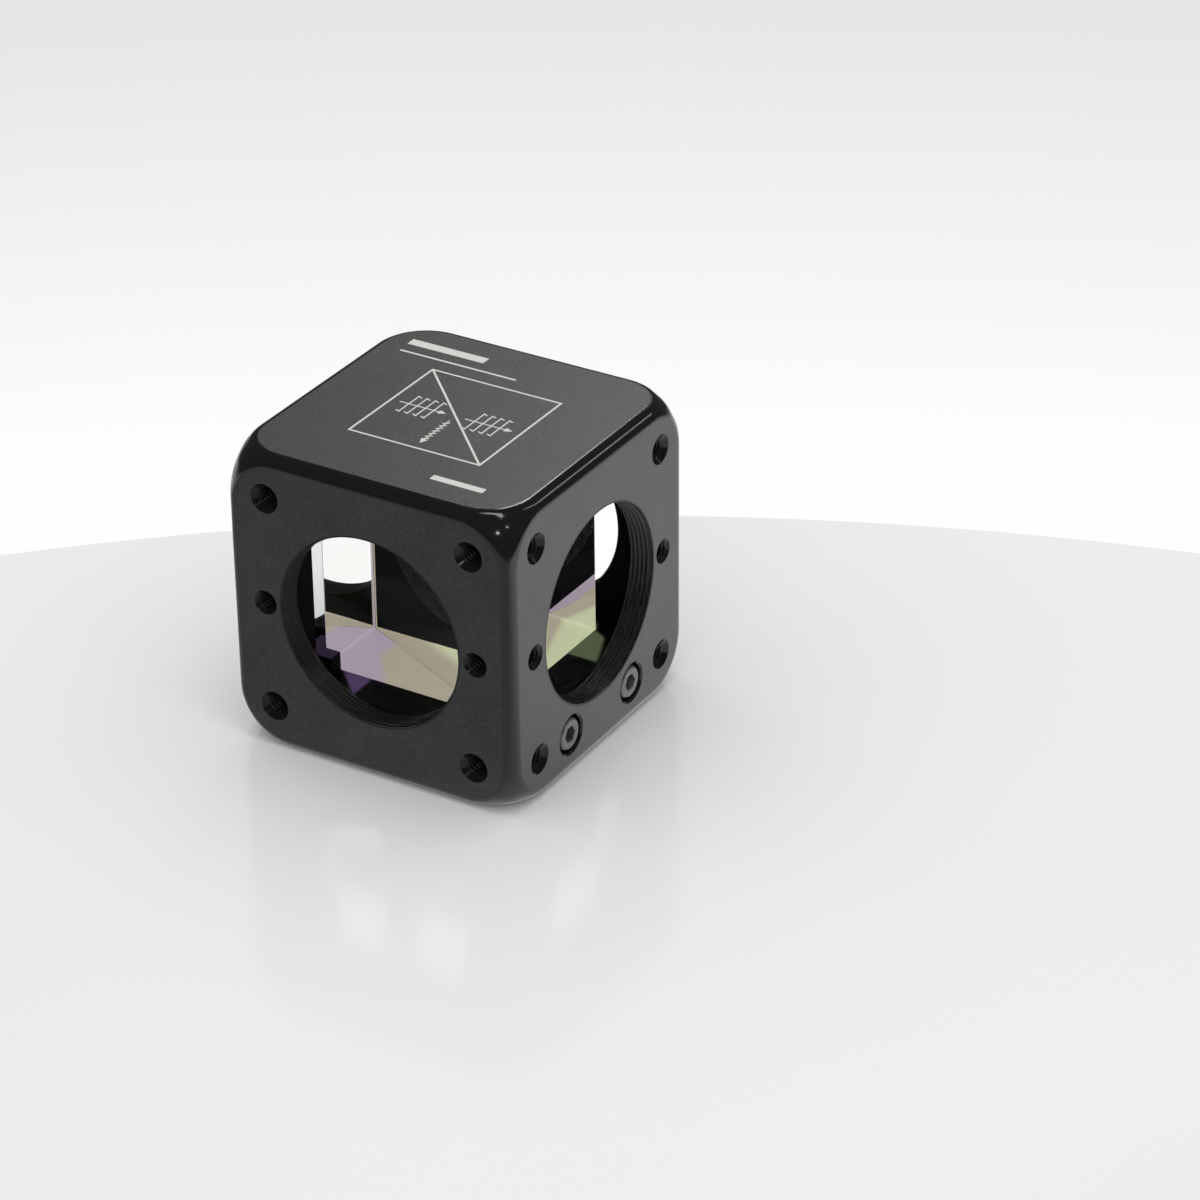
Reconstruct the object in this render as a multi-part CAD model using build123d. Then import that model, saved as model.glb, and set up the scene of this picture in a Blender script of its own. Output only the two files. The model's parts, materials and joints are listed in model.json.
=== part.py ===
from build123d import *
import math
import os

# A polarizing beamsplitter cube in its mount for a 30 mm cage system, in millimetres.
# The origin is where the axes of the four light ports cross, and +Z is up.
# The coated diagonal runs from the back left corner to the front right corner.

# Housing: a block with rounded edges, whose eight corners are turned off by one sphere
body_width = 42.0
body_height = 42.0
edge_round = 1.7
corner_sphere = 33.2

# Wall round the chamber, and the chamber milled from below
wall = 3.5
chamber_corner = 4.2

# Light ports, one through each upright wall
port_radius = 13.15

# Tapped holes of each upright face: four for cage rods at its corners, countersunk,
# and two beside the port, level with its axis
tapped_radius = 1.42
tapped_depth = 3.3
cage_spacing = 30.0
cage_hole_mouth = 0.63
side_hole_spacing = 31.2

# Cap screws that hold the platform, two in the right wall and two in the left wall
screw_spacing = 14.9
screw_drop = 15.45
screw_thread_radius = 1.25
screw_length = 8.0
head_radius = 2.25
head_height = 2.5
head_break = 0.25
socket_flats = 2.0
socket_depth = 1.3
counterbore_clearance = 0.35
counterbore_spare = 0.15
thread_clearance = 0.05
shank_clearance = 0.15
tapping_spare = 0.8

# Glass block: two right-angle prisms joined on their long faces
glass_size = 25.4
glass_bevel = 0.3
coating_thickness = 0.05

# Adhesive pads under the glass
bond_thickness = 0.1
bond_side = 4.4
bond_spacing = 13.0

# Platform that carries the glass and closes the housing from below
platform_clearance = 0.05
platform_break = 0.3
lug_height = 3.0
lug_reach = 2.4
lug_depth = 2.1
lug_clearance = 0.05
post_setback = 0.8
post_break = 0.3

# Tapped hole for a post, in the middle of the platform's underside
post_hole_radius = 2.0
post_hole_depth = 6.0

half_width = body_width / 2
top = body_height / 2
bottom = -top
chamber_half = half_width - wall
chamber_top = top - wall
glass_half = glass_size / 2
glass_bottom = -glass_half
platform_top = glass_bottom - bond_thickness
platform_half = chamber_half - platform_clearance
platform_corner = chamber_corner - platform_clearance
counterbore_radius = head_radius + counterbore_clearance
counterbore_depth = head_height + counterbore_spare
screw_hole_radius = screw_thread_radius + shank_clearance
tapping_depth = counterbore_depth + screw_length + tapping_spare
lug_inner = glass_half + lug_clearance
lug_outer = lug_inner + lug_depth
lug_end = glass_half - lug_reach
post_inner = glass_half + post_setback


def face_frames():
    """Frames on the front, right, back and left faces: x along the face, y up, z outwards."""
    frames = []
    for turn in range(4):
        angle = math.radians(90 * turn)
        along = (math.cos(angle), math.sin(angle), 0)
        outwards = (math.sin(angle), -math.cos(angle), 0)
        frames.append(Plane(origin=(0, 0, 0), x_dir=along, z_dir=outwards).offset(half_width))
    return frames


def round_bar(radius, depth):
    """A plain cylinder from z = 0 down along -z, for a bore or a shank."""
    return Cylinder(radius, depth, align=(Align.CENTER, Align.CENTER, Align.MAX))


def countersunk_hole(radius, depth, mouth):
    """The same with a 45 degree countersink as deep as it is wide."""
    cone = Pos(0, 0, -mouth) * Cone(
        radius, radius + mouth, mouth, align=(Align.CENTER, Align.CENTER, Align.MIN))
    return round_bar(radius, depth) + cone


def rounded_block():
    """The outer block: straight edges rounded, then all corners turned off by a sphere."""
    block = Box(body_width, body_width, body_height)
    block = fillet(block.edges(), edge_round)
    return block & Sphere(corner_sphere)


def chamber():
    """The square chamber, open at the bottom."""
    side = 2 * chamber_half
    outline = RectangleRounded(side, side, chamber_corner)
    return Pos(0, 0, bottom) * extrude(outline, chamber_top - bottom)


def face_holes(frame):
    """The port, the four cage rod holes and the two side holes of one upright face."""
    cage = countersunk_hole(tapped_radius, tapped_depth, cage_hole_mouth)
    side = round_bar(tapped_radius, tapped_depth)
    holes = [frame * round_bar(port_radius, wall + chamber_corner)]
    reach = cage_spacing / 2
    for x in (-reach, reach):
        for y in (-reach, reach):
            holes.append(frame * Pos(x, y, 0) * cage)
    for x in (-side_hole_spacing / 2, side_hole_spacing / 2):
        holes.append(frame * Pos(x, 0, 0) * side)
    return holes


def screw_places():
    """Frames on the right and left faces where the four cap screws sit."""
    frames = face_frames()
    spots = []
    for frame in (frames[1], frames[3]):
        for x in (-screw_spacing / 2, screw_spacing / 2):
            spots.append(frame * Pos(x, -screw_drop, 0))
    return spots


def screw_pocket(spot):
    """The counterbore and the clearance hole of one cap screw."""
    return spot * (round_bar(counterbore_radius, counterbore_depth) + round_bar(screw_hole_radius, 2 * wall))


def housing():
    """The one-piece black housing."""
    cuts = [chamber()]
    for frame in face_frames():
        cuts += face_holes(frame)
    cuts += [screw_pocket(spot) for spot in screw_places()]
    return rounded_block() - cuts


def platform_outline():
    """The platform's plan: the chamber's own, smaller by the clearance."""
    side = 2 * platform_half
    return RectangleRounded(side, side, platform_corner)


def corner_lug():
    """The L-shaped lug and the taller post behind it, which locate one corner of the glass."""
    block = Pos(-lug_outer, -lug_outer, platform_top) * Box(
        lug_outer - lug_end, lug_outer - lug_end, lug_height,
        align=(Align.MIN, Align.MIN, Align.MIN))
    seat = Pos(-lug_inner, -lug_inner, platform_top) * Box(
        lug_outer, lug_outer, lug_height, align=(Align.MIN, Align.MIN, Align.MIN))
    lug = block - seat
    corner = Pos(-post_inner, -post_inner, platform_top) * Box(
        platform_half, platform_half, glass_half - platform_top,
        align=(Align.MAX, Align.MAX, Align.MIN))
    column = Pos(0, 0, platform_top) * extrude(platform_outline(), glass_half - platform_top)
    post = column & corner
    post = chamfer(post.faces().sort_by(Axis.Z)[-1].edges(), post_break)
    return lug + post


def platform():
    """The plug that carries the glass, with its locating lug and its tapped holes."""
    plug = Pos(0, 0, bottom) * extrude(platform_outline(), platform_top - bottom)
    plug = chamfer(plug.faces().sort_by(Axis.Z)[0].edges(), platform_break)
    cuts = [Pos(0, 0, bottom) * Rot(180, 0, 0) * round_bar(post_hole_radius, post_hole_depth)]
    cuts += [spot * round_bar(screw_thread_radius, tapping_depth) for spot in screw_places()]
    return plug + corner_lug() - cuts


def glass_block():
    """The whole glass cube with bevelled edges, before it is split along its diagonal."""
    cube = Box(glass_size, glass_size, glass_size)
    return chamfer(cube.edges(), glass_bevel)


def diagonal_slab(start, thickness):
    """A thick upright slab along the diagonal, starting at a distance from the cube's middle."""
    reach = 2 * glass_size
    slab = Pos(0, start, 0) * Box(
        reach, thickness, reach, align=(Align.CENTER, Align.MIN, Align.CENTER))
    return Rot(0, 0, -45) * slab


def prism(side):
    """One right-angle prism: side -1 is the front left one, side +1 the back right one."""
    gap = coating_thickness / 2
    start = gap if side > 0 else -gap - glass_size
    return glass_block() & diagonal_slab(start, glass_size)


def polarizing_layer():
    """The coating and cement between the two prisms, drawn as one thin sheet."""
    return glass_block() & diagonal_slab(-coating_thickness / 2, coating_thickness)


def adhesive_pads():
    """Four thin square pads of adhesive between the platform and the glass."""
    reach = bond_spacing / 2
    pad = Box(bond_side, bond_side, bond_thickness, align=(Align.CENTER, Align.CENTER, Align.MIN))
    return [Pos(x, y, platform_top) * pad for x in (-reach, reach) for y in (-reach, reach)]


def cap_screw():
    """A socket head cap screw with its head's top face at z = 0, pointing along -z."""
    head = round_bar(head_radius, head_height)
    head = chamfer(head.edges().sort_by(Axis.Z)[-1], head_break)
    socket = Pos(0, 0, -socket_depth) * extrude(
        RegularPolygon(socket_flats / 2, 6, major_radius=False), socket_depth)
    shank = Pos(0, 0, -head_height) * round_bar(screw_thread_radius - thread_clearance, screw_length)
    return head - socket + shank


def platform_screws():
    """The four cap screws, each with its head on the floor of its counterbore."""
    seat = Pos(0, 0, -counterbore_spare)
    return [spot * seat * cap_screw() for spot in screw_places()]


def save(name, solids):
    """Write one named piece, or one group of like pieces, to its own file."""
    shape = Compound(children=solids) if isinstance(solids, list) else solids
    shape.label = name
    export_step(shape, f"parts/{name}.step")


def main():
    os.makedirs("parts", exist_ok=True)
    save("housing", housing())
    save("platform", platform())
    save("front_prism", prism(-1))
    save("back_prism", prism(1))
    save("polarizing_layer", polarizing_layer())
    save("adhesive_pads", adhesive_pads())
    save("platform_screws", platform_screws())


main()
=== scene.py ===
"""Looks of a caged polarizing beamsplitter cube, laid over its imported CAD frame."""
import json
import math

import bmesh
import bpy
from mathutils import Matrix, Vector

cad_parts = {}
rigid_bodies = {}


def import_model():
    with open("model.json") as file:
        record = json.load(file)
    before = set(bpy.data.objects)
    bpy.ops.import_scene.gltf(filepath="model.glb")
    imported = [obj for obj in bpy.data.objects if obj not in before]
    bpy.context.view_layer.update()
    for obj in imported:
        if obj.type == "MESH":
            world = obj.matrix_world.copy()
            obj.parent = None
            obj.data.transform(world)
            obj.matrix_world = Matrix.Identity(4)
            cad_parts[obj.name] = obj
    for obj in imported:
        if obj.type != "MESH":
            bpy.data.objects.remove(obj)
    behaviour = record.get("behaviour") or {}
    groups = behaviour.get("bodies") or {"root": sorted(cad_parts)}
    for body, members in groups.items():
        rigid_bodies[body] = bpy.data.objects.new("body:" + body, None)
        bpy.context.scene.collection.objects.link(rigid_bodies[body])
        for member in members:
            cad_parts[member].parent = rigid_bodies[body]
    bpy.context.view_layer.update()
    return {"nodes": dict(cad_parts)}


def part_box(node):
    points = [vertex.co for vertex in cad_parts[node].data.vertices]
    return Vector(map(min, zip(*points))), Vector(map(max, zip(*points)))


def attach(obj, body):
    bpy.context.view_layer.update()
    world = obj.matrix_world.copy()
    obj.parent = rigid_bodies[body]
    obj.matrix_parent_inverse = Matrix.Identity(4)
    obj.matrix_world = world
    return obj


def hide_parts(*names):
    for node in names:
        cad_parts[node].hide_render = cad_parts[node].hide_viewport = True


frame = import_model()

bl_info = {
    "name": "Cage Beamsplitter Cube",
    "version": (1, 0, 0),
    "blender": (4, 5, 0),
    "location": "View3D > Sidebar > Beamsplitter",
    "description": "Builds the looks of a caged beamsplitter cube piece by piece",
    "category": "Object",
}

# The photograph's camera: place, heading, height and roll in degrees, focal length in pixels
CAMERA_PLACE = (0.262590, -0.399150, 0.265356)
CAMERA_TURN = (31.194, 29.587, -0.576)
CAMERA_FOCAL = 4268.643
FRAME_WIDTH = 1200

# The middle of the round table in plan, fitted to its edge in the photograph
TABLE_PLACE = (0.1443, -0.2141)

# Lamps that shine on the cube alone: the directions of both ends as seen from the cube, the width,
# and which power they take a part of
LAMPS = (
    ("window_lamp", (-0.37, 0.77, 0.52), (-0.27, 0.53, 0.80), 0.035, "window", 1),
    ("strip_lamp", (0.44, 0.77, 0.46), (0.54, 0.36, 0.76), 0.06, "strip", 1),
    ("front_lamp", (0.51, -0.66, 0.55), (0.50, -0.64, 0.58), 0.05, "front", 1),
    ("small_lamp", (0.69, -0.29, 0.66), (0.67, -0.27, 0.69), 0.035, "front", 3),
)

# Plain bars on the top, in millimetres: start, end and width
MARK_BARS = (
    ((-16.6, 15.1), (-5.0, 15.1), 1.5),
    ((-16.4, 12.35), (1.2, 12.35), 0.35),
    ((6.2, -15.1), (13.8, -15.1), 1.1),
)

# The three rays of the diagram in plan, in metres: tail and head
MARK_RAYS = (
    ((-0.0084, 0), (-0.0014, 0)),
    ((0.0014, 0), (0.0084, 0)),
    ((0, -0.0014), (0, -0.0083)),
)


def length(name, default, description):
    """A length in metres that a user may change."""
    return bpy.props.FloatProperty(
        name=name, description=description, default=default, unit="LENGTH", precision=5)


def tint(name, default, description):
    """A colour that a user may change."""
    return bpy.props.FloatVectorProperty(
        name=name, description=description, default=default, subtype="COLOR", size=3,
        min=0.0, max=1.0)


class BEAM_PG_housing(bpy.types.PropertyGroup):
    """Sizes of the housing."""
    side: length("Side", 0.042, "Length of the cube's sides")
    edge: length("Edge radius", 0.0017, "Radius of all the edges")
    flat_corner: length("Flat corner", 0.0058, "Radius of the corners of the flats")
    wall: length("Wall", 0.0035, "Thickness of the walls round the chamber")
    chamber_corner: length("Chamber corner", 0.0042, "Radius of the chamber's upright corners")
    port: length("Port radius", 0.01315, "Radius of the four light ports")
    port_mouth: length("Port mouth", 0.00025, "Width of the chamfer round each port")
    tapped: length("Tapped radius", 0.00142, "Radius of the tapped holes")
    tapped_depth: length("Tapped depth", 0.0033, "Depth of the tapped holes")
    rod_spacing: length("Rod spacing", 0.030, "Distance between cage rod holes")
    rod_mouth: length("Rod hole mouth", 0.00063, "Width of the chamfer round each rod hole")
    side_spacing: length("Side hole spacing", 0.0312, "Distance between the holes beside a port")
    side_mouth: length("Side hole mouth", 0.00028, "Width of the chamfer round each side hole")
    mark_relief: length("Mark relief", 0.000015, "How far the top lies below its marks")


class BEAM_PG_thread(bpy.types.PropertyGroup):
    """Sizes of the threads."""
    pitch: length("Pitch", 0.000635, "Distance from one turn to the next")
    port_height: length("Port thread height", 0.00022, "Height of the port thread")
    port_length: length("Port thread length", 0.0034, "Length of the port thread")
    hole_height: length("Hole thread height", 0.00024, "Height of the tapped holes' thread")
    post: length("Post hole radius", 0.0020, "Radius of the post hole under the platform")
    post_depth: length("Post hole depth", 0.006, "Depth of the post hole")


class BEAM_PG_screw(bpy.types.PropertyGroup):
    """Sizes of the cap screws and their pockets."""
    spacing: length("Spacing", 0.0149, "Distance between the two screws of a face")
    drop: length("Drop", 0.01545, "How far the screws sit below the port's axis")
    head: length("Head radius", 0.00225, "Radius of the screw head")
    head_height: length("Head height", 0.0025, "Height of the screw head")
    head_break: length("Head break", 0.0003, "Width of the chamfer on the head")
    seat: length("Seat", 0.00015, "How far the head lies below the face")
    socket: length("Socket width", 0.0020, "Width across the flats of the hex socket")
    socket_depth: length("Socket depth", 0.0013, "Depth of the hex socket")
    shank: length("Shank radius", 0.0012, "Radius of the threaded shank")
    shank_length: length("Shank length", 0.008, "Length of the threaded shank")
    pocket: length("Pocket radius", 0.0026, "Radius of the counterbore")
    pocket_mouth: length("Pocket mouth", 0.00025, "Width of the chamfer round the counterbore")
    clearance: length("Clearance hole radius", 0.0014, "Radius of the hole for the shank")
    knurls: bpy.props.IntProperty(
        name="Knurls", description="Ridges round the head", default=34, min=0)


class BEAM_PG_glass(bpy.types.PropertyGroup):
    """Sizes and colours of the glass, and the painted light on its ground face."""
    film: length("Film thickness", 0.00002, "Thickness of the drawn coating film")
    inset: length("Film inset", 0.0001, "How far the film stays inside the glass")
    bevel: length("Bevel", 0.0003, "Width of the bevels on the prisms' edges")
    index: bpy.props.FloatProperty(
        name="Index", description="Refractive index of the glass", default=1.73, min=1.0)
    body: tint("Glass colour", (1.0, 1.0, 0.995), "Colour of the clear glass")
    # Painted light: the violet, sand and leaf tints stand in for the coloured light that the film throws
    # on the ground face, and the lean, seam and leaf sizes place its borders.
    violet: tint("Violet light", (0.45, 0.37, 0.48), "Ground face on the front left")
    sand: tint("Sand light", (0.47, 0.42, 0.31), "Ground face on the diagonal")
    leaf: tint("Leaf light", (0.66, 0.71, 0.44), "Ground face on the back right")
    # Painted light: the ground face glows as emission by this strength.
    glow: bpy.props.FloatProperty(
        name="Glow", description="Light that the ground face gathers inside the glass", default=0.55)
    mirrored: bpy.props.FloatProperty(
        name="Mirrored share", description="Share of the light that the film mirrors", default=0.03,
        min=0.0, max=1.0, subtype="FACTOR")
    lean: bpy.props.FloatProperty(
        name="Lean", description="Slope of the border between the violet and the sand", default=0.358)
    seam: length("Seam", -0.0087, "Where that border crosses the x axis")
    seam_blur: length("Seam blur", 0.0013, "Width over which the violet turns to sand")
    leaf_start: length("Leaf start", 0.0068, "Sum of x and y at which the sand turns green")
    leaf_end: length("Leaf end", 0.0105, "Sum of x and y at which the green is full")


class BEAM_PG_pad(bpy.types.PropertyGroup):
    """Sizes of the adhesive pads."""
    side: length("Side", 0.0044, "Side of a pad")
    corner: length("Corner", 0.0008, "Radius of a pad's corners")
    spacing: length("Spacing", 0.013, "Distance between the pads")
    gap: length("Gap", 0.000015, "How far the drawn pads stay below the glass")


class BEAM_PG_finish(bpy.types.PropertyGroup):
    """Colours of the metal pieces."""
    satin: tint("Satin anodising", (0.0075, 0.0075, 0.0085), "Blasted flats of the housing")
    gloss: tint("Glossy anodising", (0.006, 0.006, 0.007), "Rounded edges")
    # The bore colour is darker than the gloss: partly the dull anodising, partly painted shade in the
    # bores, threads and chamber.
    bore: tint("Bore anodising", (0.0045, 0.0045, 0.0052), "Bores, threads and chamber")
    violet_gleam: tint("Violet gleam", (0.060, 0.037, 0.089), "Light from the glass on the front left")
    green_gleam: tint("Green gleam", (0.072, 0.091, 0.048), "Light from the glass on the back right")
    oxide: tint("Black oxide", (0.060, 0.060, 0.062), "Cap screws")
    mark: tint("Laser marks", (0.62, 0.62, 0.58), "Marks on the top")
    pad: tint("Adhesive", (0.80, 0.78, 0.70), "Adhesive pads under the glass")


class BEAM_PG_marks(bpy.types.PropertyGroup):
    """Sizes of the marks on the top."""
    square: length("Square", 0.01928, "Side of the square of the diagram")
    line: length("Line", 0.00030, "Width of the long lines")
    fine: length("Fine line", 0.00020, "Width of the ray's strokes")
    depth: length("Ink depth", 0.00004, "Depth of the marks below the surface")
    strokes: bpy.props.IntProperty(
        name="Strokes", description="Strokes across each ray", default=4, min=1)


class BEAM_PG_stage(bpy.types.PropertyGroup):
    """Sizes and colours of the table and the light."""
    table: length("Table radius", 0.3096, "Radius of the round table")
    table_colour: tint("Table colour", (0.85, 0.85, 0.85), "Colour of the table")
    lamp_reach: length("Lamp distance", 0.8, "Distance of the lamps from the cube")
    soft: bpy.props.FloatProperty(
        name="Soft lamp", description="Power of the soft lamp overhead", default=0.65, unit="POWER")
    window: bpy.props.FloatProperty(
        name="Window", description="Power of the tall lamp behind", default=0.30, unit="POWER")
    front: bpy.props.FloatProperty(
        name="Front lamp", description="Power of the small lamp in front", default=0.20, unit="POWER")
    strip: bpy.props.FloatProperty(
        name="Strip", description="Power of the long lamp on the right", default=0.24, unit="POWER")


def sizes():
    """The property groups on the scene."""
    return bpy.context.scene.beamsplitter


class BEAM_PG_all(bpy.types.PropertyGroup):
    """All the sizes and colours of the cube."""
    housing: bpy.props.PointerProperty(type=BEAM_PG_housing)
    thread: bpy.props.PointerProperty(type=BEAM_PG_thread)
    screw: bpy.props.PointerProperty(type=BEAM_PG_screw)
    glass: bpy.props.PointerProperty(type=BEAM_PG_glass)
    pad: bpy.props.PointerProperty(type=BEAM_PG_pad)
    finish: bpy.props.PointerProperty(type=BEAM_PG_finish)
    marks: bpy.props.PointerProperty(type=BEAM_PG_marks)
    stage: bpy.props.PointerProperty(type=BEAM_PG_stage)


# Meshes

def add_object(name, mesh):
    """A new object with this mesh in the scene."""
    made = bpy.data.objects.new(name, mesh)
    bpy.context.scene.collection.objects.link(made)
    return made


def mesh_from(bm, name):
    """The bmesh as a mesh with its faces turned outwards."""
    bmesh.ops.recalc_face_normals(bm, faces=bm.faces)
    mesh = bpy.data.meshes.new(name)
    bm.to_mesh(mesh)
    bm.free()
    return mesh


def side_frames():
    """Frames on the front, right, back and left faces: x along the face, y up, z outwards."""
    half = sizes().housing.side / 2
    frames = []
    for turn in range(4):
        face = Matrix.Rotation(math.radians(90 * turn), 4, "Z")
        face = face @ Matrix.Translation((0, -half, 0)) @ Matrix.Rotation(math.radians(90), 4, "X")
        frames.append(face)
    return frames


def lathe(bm, place, profile, around, closed=False):
    """Turn a profile round the z axis of a place. A profile point is (radius, height), where the
    radius may be a function of the angle, and a radius of 0 makes a pole."""
    rings = []
    for radius, height in profile:
        if radius == 0:
            rings.append([bm.verts.new(place @ Vector((0, 0, height)))] * around)
            continue
        ring = []
        for step in range(around):
            angle = math.tau * step / around
            reach = radius(angle) if callable(radius) else radius
            spot = Vector((reach * math.cos(angle), reach * math.sin(angle), height))
            ring.append(bm.verts.new(place @ spot))
        rings.append(ring)
    pairs = list(zip(rings, rings[1:] + rings[:1] if closed else rings[1:]))
    for low, high in pairs:
        for step in range(around):
            after = (step + 1) % around
            corners = [low[step], low[after], high[after], high[step]]
            bm.faces.new(dict.fromkeys(corners))


def drill(bm, place, radius, depth, mouth=0.0, around=48, over=0.001):
    """A cutter for a hole sunk from z = 0 with a chamfered mouth."""
    wide = radius + mouth
    profile = [(0, over), (wide, over), (wide, 0)]
    if mouth:
        profile.append((radius, -mouth))
    profile += [(radius, -depth), (0, -depth)]
    lathe(bm, place, profile, around)


def rounded_square(half, corner, steps):
    """Points of a square with rounded corners, anticlockwise."""
    points = []
    for turn in range(4):
        centre = Vector((half - corner, half - corner))
        for step in range(steps + 1):
            angle = math.pi / 2 * step / steps
            spot = centre + corner * Vector((math.cos(angle), math.sin(angle)))
            spot.rotate(Matrix.Rotation(math.pi / 2 * turn, 2))
            points.append(spot)
    return points


def ball_directions(steps):
    """Directions spread evenly over a ball, with some on each of its three main circles."""
    spread = [math.tan(math.pi / 4 * step / steps) for step in range(-steps, steps + 1)]
    found = set()
    for axis in range(3):
        for side in (-1, 1):
            for first in spread:
                for second in spread:
                    way = [first, second]
                    way.insert(axis, side)
                    found.add(tuple(round(part, 9) for part in Vector(way).normalized()))
    return [Vector(way) for way in sorted(found)]


def corner_cap(reach, flat_corner, bulge):
    """Points of a shallow dome over the triangle that three flats leave at a corner."""
    inset = reach - flat_corner * (1 - math.sqrt(0.5))
    ends = [Vector(spot) for spot in
            ((inset, inset, reach), (inset, reach, inset), (reach, inset, inset))]
    middle = (ends[0] + ends[1] + ends[2]) / 3
    span = (ends[0] - middle).length
    points = []
    steps = 12
    for first in range(steps + 1):
        for second in range(steps + 1 - first):
            spot = (ends[0] * first + ends[1] * second + ends[2] * (steps - first - second)) / steps
            away = (spot - middle).length
            rise = math.sqrt(bulge ** 2 - away ** 2) - math.sqrt(bulge ** 2 - span ** 2)
            points.append(spot + middle.normalized() * rise)
    return points


def rounded_block(half, edge, flat_corner):
    """A block as if a ball had rolled round the inside of its six round-cornered flats."""
    reach = half - edge
    places = []
    for spot in corner_cap(reach, flat_corner, 0.0045):
        places += [Vector((spot.x * x, spot.y * y, spot.z * z))
                   for x in (-1, 1) for y in (-1, 1) for z in (-1, 1)]
    for x, y in rounded_square(reach, flat_corner, 12):
        for level in (-reach, reach):
            places += [Vector((x, y, level)), Vector((x, level, y)), Vector((level, x, y))]
    bm = bmesh.new()
    for way in ball_directions(16):
        extents = [place.dot(way) for place in places]
        furthest = max(extents) - 1e-8
        for place, extent in zip(places, extents):
            if extent >= furthest:
                bm.verts.new(place + way * edge)
    bmesh.ops.remove_doubles(bm, verts=bm.verts, dist=1e-7)
    hull = bmesh.ops.convex_hull(bm, input=bm.verts)
    spare = [item for item in hull["geom_interior"] + hull["geom_unused"]
             if isinstance(item, bmesh.types.BMVert) and item.is_valid]
    bmesh.ops.delete(bm, geom=list(set(spare)), context="VERTS")
    bmesh.ops.dissolve_limit(bm, angle_limit=0.0005, verts=bm.verts, edges=bm.edges)
    return bm


def slab(bm, outline, low, high):
    """An upright prism over a flat outline."""
    floor = [bm.verts.new((x, y, low)) for x, y in outline]
    roof = [bm.verts.new((x, y, high)) for x, y in outline]
    bm.faces.new(floor[::-1])
    bm.faces.new(roof)
    for index in range(len(outline)):
        after = (index + 1) % len(outline)
        bm.faces.new([floor[index], floor[after], roof[after], roof[index]])


def carve(piece, bm, operation):
    """Cut the piece by the bmesh, or keep only what is inside it."""
    tool = add_object("cutter", mesh_from(bm, "cutter"))
    cut = piece.modifiers.new("cut", "BOOLEAN")
    cut.operation = operation
    cut.object = tool
    cut.solver = "EXACT"
    bake(piece)
    bpy.data.objects.remove(tool)


def bake(piece):
    """Apply the piece's modifiers."""
    graph = bpy.context.evaluated_depsgraph_get()
    graph.update()
    mesh = bpy.data.meshes.new_from_object(piece.evaluated_get(graph), depsgraph=graph)
    piece.modifiers.clear()
    old = piece.data
    piece.data = mesh
    bpy.data.meshes.remove(old)


def shade(piece, angle=24, weighted=True):
    """Smooth shading with edges sharper than an angle kept sharp."""
    piece.data.shade_smooth()
    piece.data.set_sharp_from_angle(angle=math.radians(angle))
    if weighted:
        weigh = piece.modifiers.new("weigh", "WEIGHTED_NORMAL")
        weigh.keep_sharp = True
        bake(piece)


def finish_piece(piece, material, replaced=()):
    """Give the piece its material and its place in the frame."""
    piece.data.materials.clear()
    piece.data.materials.append(material)
    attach(piece, "root")
    if replaced:
        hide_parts(*replaced)


# Node graphs

WHITE = (1.0, 1.0, 1.0, 1.0)


class Graph:
    """Adds nodes to a tree and links them."""

    def __init__(self, tree):
        self.tree = tree

    def node(self, kind, inputs=(), **settings):
        """A node with its settings, and inputs by name or number: a value or a socket."""
        made = self.tree.nodes.new(kind)
        for name, value in settings.items():
            setattr(made, name, value)
        for key, value in dict(inputs).items():
            if isinstance(value, bpy.types.NodeSocket):
                self.tree.links.new(value, made.inputs[key])
            else:
                made.inputs[key].default_value = value
        return made

    def math(self, operation, first, second=0.0, third=0.0):
        """The result of a Math node."""
        made = self.node("ShaderNodeMath", {0: first, 1: second, 2: third}, operation=operation)
        return made.outputs[0]

    def ramp(self, value, low, high, start=0.0, end=1.0):
        """A value mapped from one range to another, clamped."""
        made = self.node("ShaderNodeMapRange", {
            "Value": value, "From Min": low, "From Max": high, "To Min": start, "To Max": end})
        return made.outputs["Result"]

    def chain(self, operation, values):
        """Several values joined by one operation: the largest, the smallest, the sum or the product."""
        first, *others = values
        for value in others:
            first = self.math(operation, first, value)
        return first

    def split(self, vector):
        """The three parts of a vector."""
        return self.node("ShaderNodeSeparateXYZ", {0: vector}).outputs

    def slope(self, parts, x, y, start=0.0):
        """How far a place lies along a level direction, from a start."""
        return self.math("MULTIPLY_ADD", parts[0], x, self.math("MULTIPLY_ADD", parts[1], y, -start))

    def mixed(self, factor, first, second):
        """Two numbers mixed by a factor."""
        return self.node("ShaderNodeMix", {0: factor, 2: first, 3: second}).outputs[0]

    def noise(self, place, scale, detail=2.0, roughness=0.5):
        """The value of a noise texture."""
        made = self.node("ShaderNodeTexNoise", {
            "Vector": place, "Scale": scale, "Detail": detail, "Roughness": roughness})
        return made.outputs[0]

    def blend(self, factor, first, second):
        """Two colours mixed by a factor."""
        made = self.node("ShaderNodeMix", data_type="RGBA")
        for key, value in (("Factor_Float", factor), ("A_Color", first), ("B_Color", second)):
            socket = next(s for s in made.inputs if s.identifier == key)
            if isinstance(value, bpy.types.NodeSocket):
                self.tree.links.new(value, socket)
            else:
                socket.default_value = value
        return next(s for s in made.outputs if s.identifier == "Result_Color")


def solid(colour):
    """A colour with full alpha."""
    return (*colour, 1.0)


def scaled(colour, share):
    """A colour made lighter or darker."""
    return tuple(min(1.0, part * share) for part in colour)


def new_material(name):
    """A material with only its output, as a graph and the output's surface socket."""
    material = bpy.data.materials.new(name)
    material.use_nodes = True
    material.node_tree.nodes.clear()
    graph = Graph(material.node_tree)
    output = graph.node("ShaderNodeOutputMaterial")
    return material, graph, output.inputs["Surface"]


def object_place(graph):
    """Object coordinates and their three parts."""
    place = graph.node("ShaderNodeTexCoord").outputs["Object"]
    return place, graph.split(place)


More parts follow.
